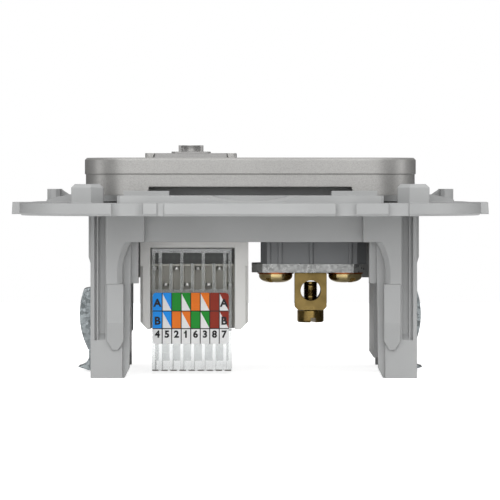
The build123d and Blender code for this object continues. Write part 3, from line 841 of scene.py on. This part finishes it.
def threaded_rod(
    name: str, radius: float, depth: float, pitch: float, low: Point, length: float,
    material: bpy.types.Material,
) -> bpy.types.Mesh:
    """A round rod with a helical thread made by Geometry Nodes.

    Args:
        name: name of the mesh.
        radius: outer radius of the thread.
        depth: how far the thread stands above its core.
        pitch: rise of one turn.
        low: middle of the rod's lower end.
        length: length of the rod.
        material: finish of the rod.

    Returns:
        The rod as one plain mesh, core and ridge each closed.
    """
    recipe = Recipe(
        name, {"Length": mm(length), "Pitch": mm(pitch), "Radius": mm(radius), "Depth": mm(depth)}
    )
    core_radius = recipe.math("SUBTRACT", recipe.size("Radius"), recipe.size("Depth"))
    core = add(
        recipe.tree, "GeometryNodeMeshCylinder", {"Vertices": 32},
        {"Radius": core_radius, "Depth": recipe.size("Length")},
    )
    half = recipe.math("MULTIPLY", recipe.size("Length"), 0.5)
    lift = add(recipe.tree, "ShaderNodeCombineXYZ", None, {2: half})
    raised = add(
        recipe.tree, "GeometryNodeTransform", None,
        {"Geometry": core.outputs["Mesh"], "Translation": lift.outputs[0]},
    )
    run = recipe.math("SUBTRACT", recipe.size("Length"), recipe.size("Pitch"))
    turns = recipe.math("DIVIDE", run, recipe.size("Pitch"))
    helix = add(
        recipe.tree, "GeometryNodeCurveSpiral", {"Resolution": 24},
        {"Rotations": turns, "Start Radius": core_radius, "End Radius": core_radius, "Height": run},
    )
    ridge_profile = add(
        recipe.tree, "GeometryNodeCurvePrimitiveCircle", {"Resolution": 4}, {"Radius": recipe.size("Depth")}
    )
    ridge = add(
        recipe.tree, "GeometryNodeCurveToMesh", {"Fill Caps": True},
        {"Curve": helix.outputs[0], "Profile Curve": ridge_profile.outputs[0]},
    )
    half_turn = recipe.math("MULTIPLY", recipe.size("Pitch"), 0.5)
    start = add(recipe.tree, "ShaderNodeCombineXYZ", None, {2: half_turn})
    seated = add(
        recipe.tree, "GeometryNodeTransform", None,
        {"Geometry": ridge.outputs[0], "Translation": start.outputs[0]},
    )
    both = add(recipe.tree, "GeometryNodeJoinGeometry")
    recipe.tree.links.new(raised.outputs[0], both.inputs[0])
    recipe.tree.links.new(seated.outputs[0], both.inputs[0])
    return recipe.bake(name, both.outputs[0], material, Matrix.Translation([mm(c) for c in low]))


@dataclass
class Frame:
    """The grey moulded support frame, with the upstand that closes the view through the cover."""

    upstand_half: float = 17.0
    upstand_near: float = -18.6
    upstand_t: float = 1.2
    upstand_low: float = 1.7
    upstand_high: float = 6.2
    plastic: MouldedPlastic = MouldedPlastic("grey moulded polycarbonate", "#9FA0A0", roughness=0.42)

    def build(self) -> None:
        """Dress the frame and add an upstand behind each of the cover's two prying windows."""
        finish = self.plastic.make()
        dress("support_frame", finish)
        work = bmesh.new()
        outline = [
            (-self.upstand_half, self.upstand_low), (self.upstand_half, self.upstand_low),
            (self.upstand_half, self.upstand_high), (-self.upstand_half, self.upstand_high),
        ]
        for near in (self.upstand_near, -self.upstand_near - self.upstand_t):
            prism(work, outline, near, near + self.upstand_t)
        put("frame_upstands", finish_mesh("frame_upstands", work, [finish]), "socket")


@dataclass
class Cover:
    """The lacquered cover and the sliding shutter of the data outlet."""

    lacquer: MetallicPaint = MetallicPaint("silver flake lacquer", "#9B9A98")
    # The shutter carries the cover's silver lacquer in a darker colour: painted shade for its shaded grip.
    leaf: MetallicPaint = MetallicPaint("silver flake lacquer on the shutter", "#8C8B8A")

    def build(self) -> None:
        """Dress the cover and the shutter."""
        dress("cover_plate", self.lacquer.make())
        dress("shutter", self.leaf.make())


@dataclass
class DataJack:
    """The white data jack with its comb, forks, springs and board."""

    housing: MouldedPlastic = MouldedPlastic(
        "white moulded nylon", "#E4E3E0", roughness=0.36, cloud_share=0.03
    )
    comb: MouldedPlastic = MouldedPlastic(
        "grey-white comb nylon", "#C9C7BE", roughness=0.4, cloud_share=0.04
    )
    carrier: MouldedPlastic = MouldedPlastic("black contact carrier", "#2A2B2D", roughness=0.45)
    gold: PlainMetal = PlainMetal("gold plated spring wire", "#E2B85A", roughness=0.2)
    tin: PlainMetal = PlainMetal("tinned bronze blade", "#C9C9C6", roughness=0.3)
    board: BoardLaminate = BoardLaminate("green board laminate")

    def build(self) -> None:
        """Dress the jack's nodes."""
        dress("jack_housing", self.housing.make())
        dress("terminal_comb", self.comb.make())
        dress("contact_carrier", self.carrier.make())
        dress("contact_springs", self.gold.make())
        dress("wire_forks", self.tin.make())
        dress("circuit_board", self.board.make())


@dataclass
class WiringLabel:
    """The printed wiring guide on the clear cap, with two colour rows and a number row."""

    left: float = -14.34
    width: float = 11.18
    top: float = -11.5
    bottom: float = -19.0
    face: float = -8.42
    ink: float = 0.02
    row_a: float = 2.68
    row_b: float = 2.58
    corner: float = 0.5
    corner_steps: int = 5
    line: float = 0.13
    number_height: float = 0.98
    number_lift: float = 0.25
    letter_height: float = 1.1
    letter_drop: float = 0.2
    capital_share: float = 0.7
    boldness: float = 0.06
    flag_t: float = 0.2
    flag_fall: float = 0.18
    flag_reach: float = 0.3
    digits: str = "45216387"
    upper: tuple[Wire, ...] = (Wire.BLUE, Wire.GREEN, Wire.ORANGE, Wire.BROWN)
    lower: tuple[Wire, ...] = (Wire.BLUE, Wire.ORANGE, Wire.GREEN, Wire.BROWN)
    film: PrintedFilm = PrintedFilm("white label film", "#F2F2F2")
    black: PrintedFilm = PrintedFilm("black label ink", "#1C1D1F")

    @property
    def pitch(self) -> float:
        """Width of one column."""
        return self.width / len(self.digits)

    def bend(self, side: float, high: float, inward: int) -> list[Flat]:
        """Points round a top corner of the label, from its upper edge to its side.

        Args:
            side: X of the side.
            high: upper edge.
            inward: 1 at the left corner, -1 at the right one.

        Returns:
            The points in the X-Z plane.
        """
        angles = [math.radians(90 * step / self.corner_steps) for step in range(self.corner_steps + 1)]
        return [
            (side + inward * self.corner * (1 - math.sin(a)), high - self.corner * (1 - math.cos(a)))
            for a in angles
        ]

    def cell(self, column: int, striped: bool, high: float, low: float, rounded: bool) -> list[Flat]:
        """Outline of one coloured field.

        Args:
            column: column, counted from the left.
            striped: True for a colour that fills only the upper right half.
            high: upper edge.
            low: lower edge.
            rounded: True where the field lies in a rounded corner of the label.

        Returns:
            Its corners in the X-Z plane.
        """
        left = self.left + column * self.pitch
        right = left + self.pitch
        if rounded and column == 0:
            return [(left, low), *reversed(self.bend(left, high, 1)), (right, high), (right, low)]
        if rounded and column == len(self.digits) - 1:
            return [(left, high), *self.bend(right, high, -1), (right, low)]
        if striped:
            return [(left, high), (right, high), (right, low)]
        return [(left, high), (right, high), (right, low), (left, low)]

    def fields(self) -> bpy.types.Mesh:
        """The coloured fields of both rows.

        Returns:
            One mesh with a material for each pair colour.
        """
        work = bmesh.new()
        order = list(Wire)
        rows = (
            (self.upper, self.top, self.top - self.row_a),
            (self.lower, self.top - self.row_a, self.top - self.row_a - self.row_b),
        )
        for place, (wires, high, low) in enumerate(rows):
            for column in range(len(self.digits)):
                wire = wires[column // 2]
                striped = column % 2 == 1
                outline = self.cell(column, striped, high, low, place == 0)
                prism(work, outline, self.face - self.ink, self.face, order.index(wire))
        inks = [PrintedFilm(wire.name.lower() + " label ink", wire.value).make() for wire in order]
        return finish_mesh("label_fields", work, inks)

    def lettering(
        self, words: str, middle: Point, height: float, ink: bpy.types.Material
    ) -> bpy.types.Mesh:
        """Raised ink in the shape of a few characters.

        Args:
            words: the characters.
            middle: middle of the words.
            height: height of a capital.
            ink: their finish.

        Returns:
            A closed mesh.
        """
        curve = bpy.data.curves.new("letters", "FONT")
        curve.body = words
        curve.align_x = "CENTER"
        curve.align_y = "CENTER"
        curve.size = mm(height / self.capital_share)
        curve.extrude = mm(self.ink / 2)
        curve.offset = mm(self.boldness)
        curve.resolution_u = 4
        carrier = bpy.data.objects.new("letters", curve)
        bpy.context.scene.collection.objects.link(carrier)
        graph = bpy.context.evaluated_depsgraph_get()
        mesh = bpy.data.meshes.new_from_object(carrier.evaluated_get(graph))
        bpy.data.objects.remove(carrier)
        work = bmesh.new()
        work.from_mesh(mesh)
        bmesh.ops.remove_doubles(work, verts=work.verts, dist=1e-7)
        done = finish_mesh("lettering " + words, work, [ink])
        upright = Matrix.Rotation(math.pi / 2, 4, "X")
        done.transform(Matrix.Translation([mm(c) for c in middle]) @ upright)
        return done

    def flag(self, x: float, top: float, ink: bpy.types.Material) -> bpy.types.Mesh:
        """The slanted stroke that the number one has on top of its stem.

        Args:
            x: middle of the stem.
            top: upper end of the stem.
            ink: its finish.

        Returns:
            A closed mesh.
        """
        work = bmesh.new()
        low = top - self.flag_t
        end = x - self.flag_reach
        outline = [(x, top), (x, low), (end, low - self.flag_fall), (end, low)]
        prism(work, outline, self.face - 2 * self.ink, self.face - self.ink)
        return finish_mesh("label_digit_flag", work, [ink])

    def build(self) -> None:
        """Make the label's fields, lines and characters, and dress its film."""
        dress("wiring_label", self.film.make())
        ink = self.black.make()
        pieces = {"label_fields": self.fields()}
        high = self.top - self.bottom
        depth = self.face - 1.5 * self.ink
        pieces["label_columns"] = bar_row(
            "label_columns", len(self.digits) - 1, self.pitch, (self.line, self.ink, high),
            (self.left + self.pitch, depth, (self.top + self.bottom) / 2), ink,
        )
        pieces["label_rows"] = bar_row(
            "label_rows", 2, self.row_b, (self.width, self.ink, self.line),
            (self.left + self.width / 2, depth, self.top - self.row_a), ink,
            along=(0.0, 0.0, -1.0),
        )
        number_z = (self.top - self.row_a - self.row_b + self.bottom) / 2 + self.number_lift
        for column, digit in enumerate(self.digits):
            middle = (self.left + (column + 0.5) * self.pitch, depth, number_z)
            pieces[f"label_digit_{column + 1}"] = self.lettering(digit, middle, self.number_height, ink)
            if digit == "1":
                pieces["label_digit_flag"] = self.flag(middle[0], number_z + self.number_height / 2, ink)
        for row, letter in enumerate("AB"):
            z = self.top - self.row_a / 2 - row * (self.row_a + self.row_b) / 2 - self.letter_drop
            for end, column in (("first", 0), ("last", len(self.digits) - 1)):
                middle = (self.left + (column + 0.5) * self.pitch, depth, z)
                mesh = self.lettering(letter, middle, self.letter_height, ink)
                pieces[f"label_letter_{letter}_{end}"] = mesh
        for name, mesh in pieces.items():
            put(name, mesh, "wiring_cap")


@dataclass
class WiringCap:
    """The clear cap that presses the wires home, with its label."""

    bottom: float = -23.0
    face: float = -8.3
    dash_x: float = -13.925
    dash_count: int = 9
    dash_pitch: float = 1.33
    dash_size: Point = (0.95, 0.06, 0.2)
    clear: ClearPolymer = ClearPolymer("clear moulded polycarbonate")
    dash_plastic: MouldedPlastic = MouldedPlastic("dark grey plastic of the edge dashes", "#6F6C67", roughness=0.5)
    label: WiringLabel = field(default_factory=WiringLabel)

    def build(self) -> None:
        """Dress the cap, put a row of dark grey dashes along its lower edge, and make its label."""
        dress("wire_cap", self.clear.make())
        # A row of small dark grey bars laid along the cap's lower edge.
        first = (self.dash_x, self.face, self.bottom + self.dash_size[2] / 2)
        dashes = bar_row(
            "cap_edge_dashes", self.dash_count, self.dash_pitch, self.dash_size, first, self.dash_plastic.make()
        )
        put("cap_edge_dashes", dashes, "wiring_cap")
        self.label.build()


@dataclass
class SlottedScrew:
    """A slotted machine screw that stands for its CAD node, with a turned head and a cut thread.

    The bearing face is the flat face under the head, and facing is 1 for a head that points away
    from the wall and -1 for one that points towards it. The turn in degrees sets where the slot lies.
    """

    node: str
    body: str
    slot: str
    x: float
    bearing: float
    facing: int
    head_radius: float
    head_height: float
    bend: Flat
    thread_radius: float
    thread_depth: float
    pitch: float
    reach: float
    material: bpy.types.Material
    turn: float = 0.0
    slot_width: float = 0.8
    slot_depth: float = 0.7
    overcut: float = 1.0
    bend_steps: int = 6

    def head(self) -> bpy.types.Mesh:
        """Turned head with its slot, on the origin and facing +Z.

        Returns:
            A closed mesh.
        """
        across, along = self.bend
        rim = self.head_height - along
        angles = [math.radians(90 * step / self.bend_steps) for step in range(self.bend_steps + 1)]
        curve = [
            (self.head_radius - across * (1 - math.cos(a)), rim + along * math.sin(a)) for a in angles
        ]
        solid = lathe("head", [(self.head_radius, 0.0), *curve])
        far = self.head_radius + self.overcut
        half = self.slot_width / 2
        floor = self.head_height - self.slot_depth
        return cut_away(solid, (-far, -half, floor), (far, half, self.head_height + self.overcut))

    def build(self) -> None:
        """Make the screw and put it in place of its node."""
        shank = threaded_rod(
            "shank", self.thread_radius, self.thread_depth, self.pitch,
            (0.0, 0.0, -self.reach), self.reach + self.head_height / 4, self.material,
        )
        mesh = joined(self.node + " turned", [self.head(), shank], self.material)
        mesh.transform(Matrix.Rotation(math.radians(self.turn), 4, "Z"))
        if self.facing < 0:
            mesh.transform(Matrix.Rotation(math.pi, 4, "X"))
        mesh.transform(Matrix.Translation((mm(self.x), 0.0, mm(self.bearing))))
        piece = put(self.node + "_turned", smooth(mesh), self.body)
        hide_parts(self.node)


@dataclass
class AerialTerminal:
    """The aerial outlet: body, sleeve, pin, brass block, clamp plate and screws."""

    x: float = 9.0
    screw_spread: float = 5.2
    side_turn: float = 62.0
    body: MouldedPlastic = MouldedPlastic("dark grey moulded body", "#77797B", roughness=0.42)
    insulator: MouldedPlastic = MouldedPlastic(
        "white insulator", "#E9E8E4", roughness=0.35, cloud_share=0.02
    )
    nickel: PlainMetal = PlainMetal("nickel plated brass", "#C6C2B8", roughness=0.22)
    brass: PlainMetal = PlainMetal("turned brass", "#8C7646", roughness=0.24)
    plate: RoughZinc = RoughZinc(
        "galvanised clamp plate", "#A2A3A2", crystal_mm=0.3, lump_depth_mm=0.03, facet_depth_mm=0.02,
        contrast=0.12, metallic=0.6,
    )
    sawn: PlainMetal = PlainMetal("sawn brass bar", "#78663E", roughness=0.32)
    gold: PlainMetal = PlainMetal("gold passivated steel", "#DCC68E", roughness=0.17)
    copper: PlainMetal = PlainMetal("copper washer", "#B86A3C", roughness=0.34)

    def build(self) -> None:
        """Dress the terminal's nodes."""
        dress("aerial_body", self.body.make())
        dress("insulator", self.insulator.make())
        nickel = self.nickel.make()
        brass = self.brass.make()
        gold = self.gold.make()
        copper = self.copper.make()
        dress("outer_sleeve", nickel)
        dress("centre_pin", nickel)
        dress("terminal_block", self.sawn.make())
        dress("clamp_plate", self.plate.make())
        SlottedScrew(
            node="terminal_screw", body="terminal_screw_body", slot="terminal_brass", x=self.x,
            bearing=-14.43, facing=-1, head_radius=2.0, head_height=1.75, bend=(0.3, 0.3),
            thread_radius=1.05, thread_depth=0.13, pitch=0.3, reach=4.3, material=brass, turn=78.0,
        ).build()
        for side in Side:
            SlottedScrew(
                node="clamp_screw_" + side.word, body=f"clamp_screw_{side.word}_body", slot="gold_steel",
                x=self.x + side.value * self.screw_spread, bearing=-8.93, facing=-1, head_radius=2.5,
                head_height=1.3, bend=(1.7, 0.95), thread_radius=1.45, thread_depth=0.16, pitch=0.5,
                reach=3.78, material=gold, turn=self.side_turn * side.value,
            ).build()
            dress("clamp_washer_" + side.word, copper)


@dataclass
class ClawDrive:
    """One claw with its screw and nut."""

    side: Side
    zinc: bpy.types.Material
    bright: bpy.types.Material
    screw_x: float = 21.4

    def build(self) -> None:
        """Dress the claw and its nut, and make its screw."""
        word = self.side.word
        dress("claw_" + word, self.zinc)
        dress("claw_nut_" + word, self.bright)
        SlottedScrew(
            node="claw_screw_" + word, body=f"claw_screw_{word}_body", slot="zinc_steel",
            x=self.side.value * self.screw_x, bearing=0.4, facing=1, head_radius=2.5, head_height=1.3,
            bend=(0.3, 0.25), thread_radius=1.5, thread_depth=0.17, pitch=0.5, reach=23.6,
            material=self.bright,
        ).build()


@dataclass(frozen=True)
class SoftBox:
    """A square soft box that hangs somewhere and looks at the socket, with its power in watts."""

    name: str
    place: Point
    size: float
    power: float

    def hang(self) -> None:
        """Put the soft box into the scene."""
        light = bpy.data.lights.new(self.name, "AREA")
        light.shape = "SQUARE"
        light.size = mm(self.size)
        light.energy = self.power
        lamp = bpy.data.objects.new(self.name, light)
        lamp.location = [mm(c) for c in self.place]
        lamp.rotation_euler = (-Vector(lamp.location)).to_track_quat("-Z", "Y").to_euler()
        bpy.context.scene.collection.objects.link(lamp)


@dataclass
class Studio:
    """Lit white table, soft boxes and the photograph's camera."""

    distance: float = 450.0
    height: float = 4.18
    sideways: float = -0.045
    lens: float = 216.5
    shift: float = -0.128
    floor_half: float = 260.0
    wall_light: float = 0.07
    ceiling_light: float = 0.75
    sheet: LightTable = LightTable()
    boxes: tuple[SoftBox, ...] = (
        SoftBox("left soft box", (-430.0, -75.0, 70.0), 150.0, 0.2),
        SoftBox("right soft box", (430.0, -75.0, 70.0), 150.0, 0.26),
        SoftBox("top soft box", (0.0, -60.0, 520.0), 420.0, 0.55),
        SoftBox("front soft box", (-30.0, -640.0, 330.0), 800.0, 4.7),
    )

    def floor(self) -> None:
        """Lay the white sheet under the lowest point of the socket."""
        low = cad_box[0].z
        half = mm(self.floor_half)
        mesh = bpy.data.meshes.new("sheet")
        corners = [(-half, -half, low), (half, -half, low), (half, half, low), (-half, half, low)]
        mesh.from_pydata(corners, [], [(0, 1, 2, 3)])
        mesh.materials.append(self.sheet.make())
        sheet = bpy.data.objects.new("sheet", mesh)
        bpy.context.scene.collection.objects.link(sheet)

    def surround(self) -> None:
        """Light the room from its white ceiling, with bare white where it is seen or shines through."""
        world = bpy.data.worlds.new("studio")
        bpy.context.scene.world = world
        world.use_nodes = True
        tree = world.node_tree
        tree.nodes.clear()
        seen = add(tree, "ShaderNodeBackground", {"Color": (1, 1, 1, 1), "Strength": 1.0})
        away = add(tree, "ShaderNodeTexCoord").outputs["Generated"]
        upward = add(tree, "ShaderNodeSeparateXYZ", None, {0: away}).outputs[2]
        ceiling = span(tree, upward, (0.1, 0.9), (self.wall_light, self.ceiling_light))
        lit = add(tree, "ShaderNodeBackground", {"Color": (1, 1, 1, 1)}, {"Strength": ceiling})
        path = add(tree, "ShaderNodeLightPath")
        through = add(
            tree, "ShaderNodeMath", {"operation": "MAXIMUM"},
            {0: path.outputs["Is Camera Ray"], 1: path.outputs["Is Transmission Ray"]},
        )
        both = add(
            tree, "ShaderNodeMixShader", None,
            {0: through.outputs[0], 1: lit.outputs[0], 2: seen.outputs[0]},
        )
        add(tree, "ShaderNodeOutputWorld", None, {"Surface": both.outputs[0]})

    def camera(self) -> None:
        """Set the camera at the photograph's angle and distance."""
        data = bpy.data.cameras.new("camera")
        data.lens = self.lens
        data.sensor_width = 36.0
        data.shift_y = self.shift
        data.clip_start = 0.01
        data.clip_end = 20.0
        camera = bpy.data.objects.new("camera", data)
        camera.location = (mm(self.sideways), mm(-self.distance), mm(self.height))
        camera.rotation_euler = (math.pi / 2, 0.0, 0.0)
        bpy.context.scene.collection.objects.link(camera)
        bpy.context.scene.camera = camera

    def build(self) -> None:
        """Set up the sheet, the lights and the camera."""
        self.floor()
        self.surround()
        for box in self.boxes:
            box.hang()
        self.camera()
        bpy.context.scene.view_settings.view_transform = "Standard"


def main() -> None:
    logging.basicConfig(level=logging.INFO, format="%(name)s: %(message)s")
    Studio().build()
    Frame().build()
    Cover().build()
    DataJack().build()
    WiringCap().build()
    AerialTerminal().build()
    zinc = RoughZinc("galvanised claw steel").make()
    bright = PlainMetal("bright zinc plated steel", "#BFC1C3", roughness=0.28).make()
    for side in Side:
        ClawDrive(side, zinc, bright).build()


if __name__ == "__main__":
    main()
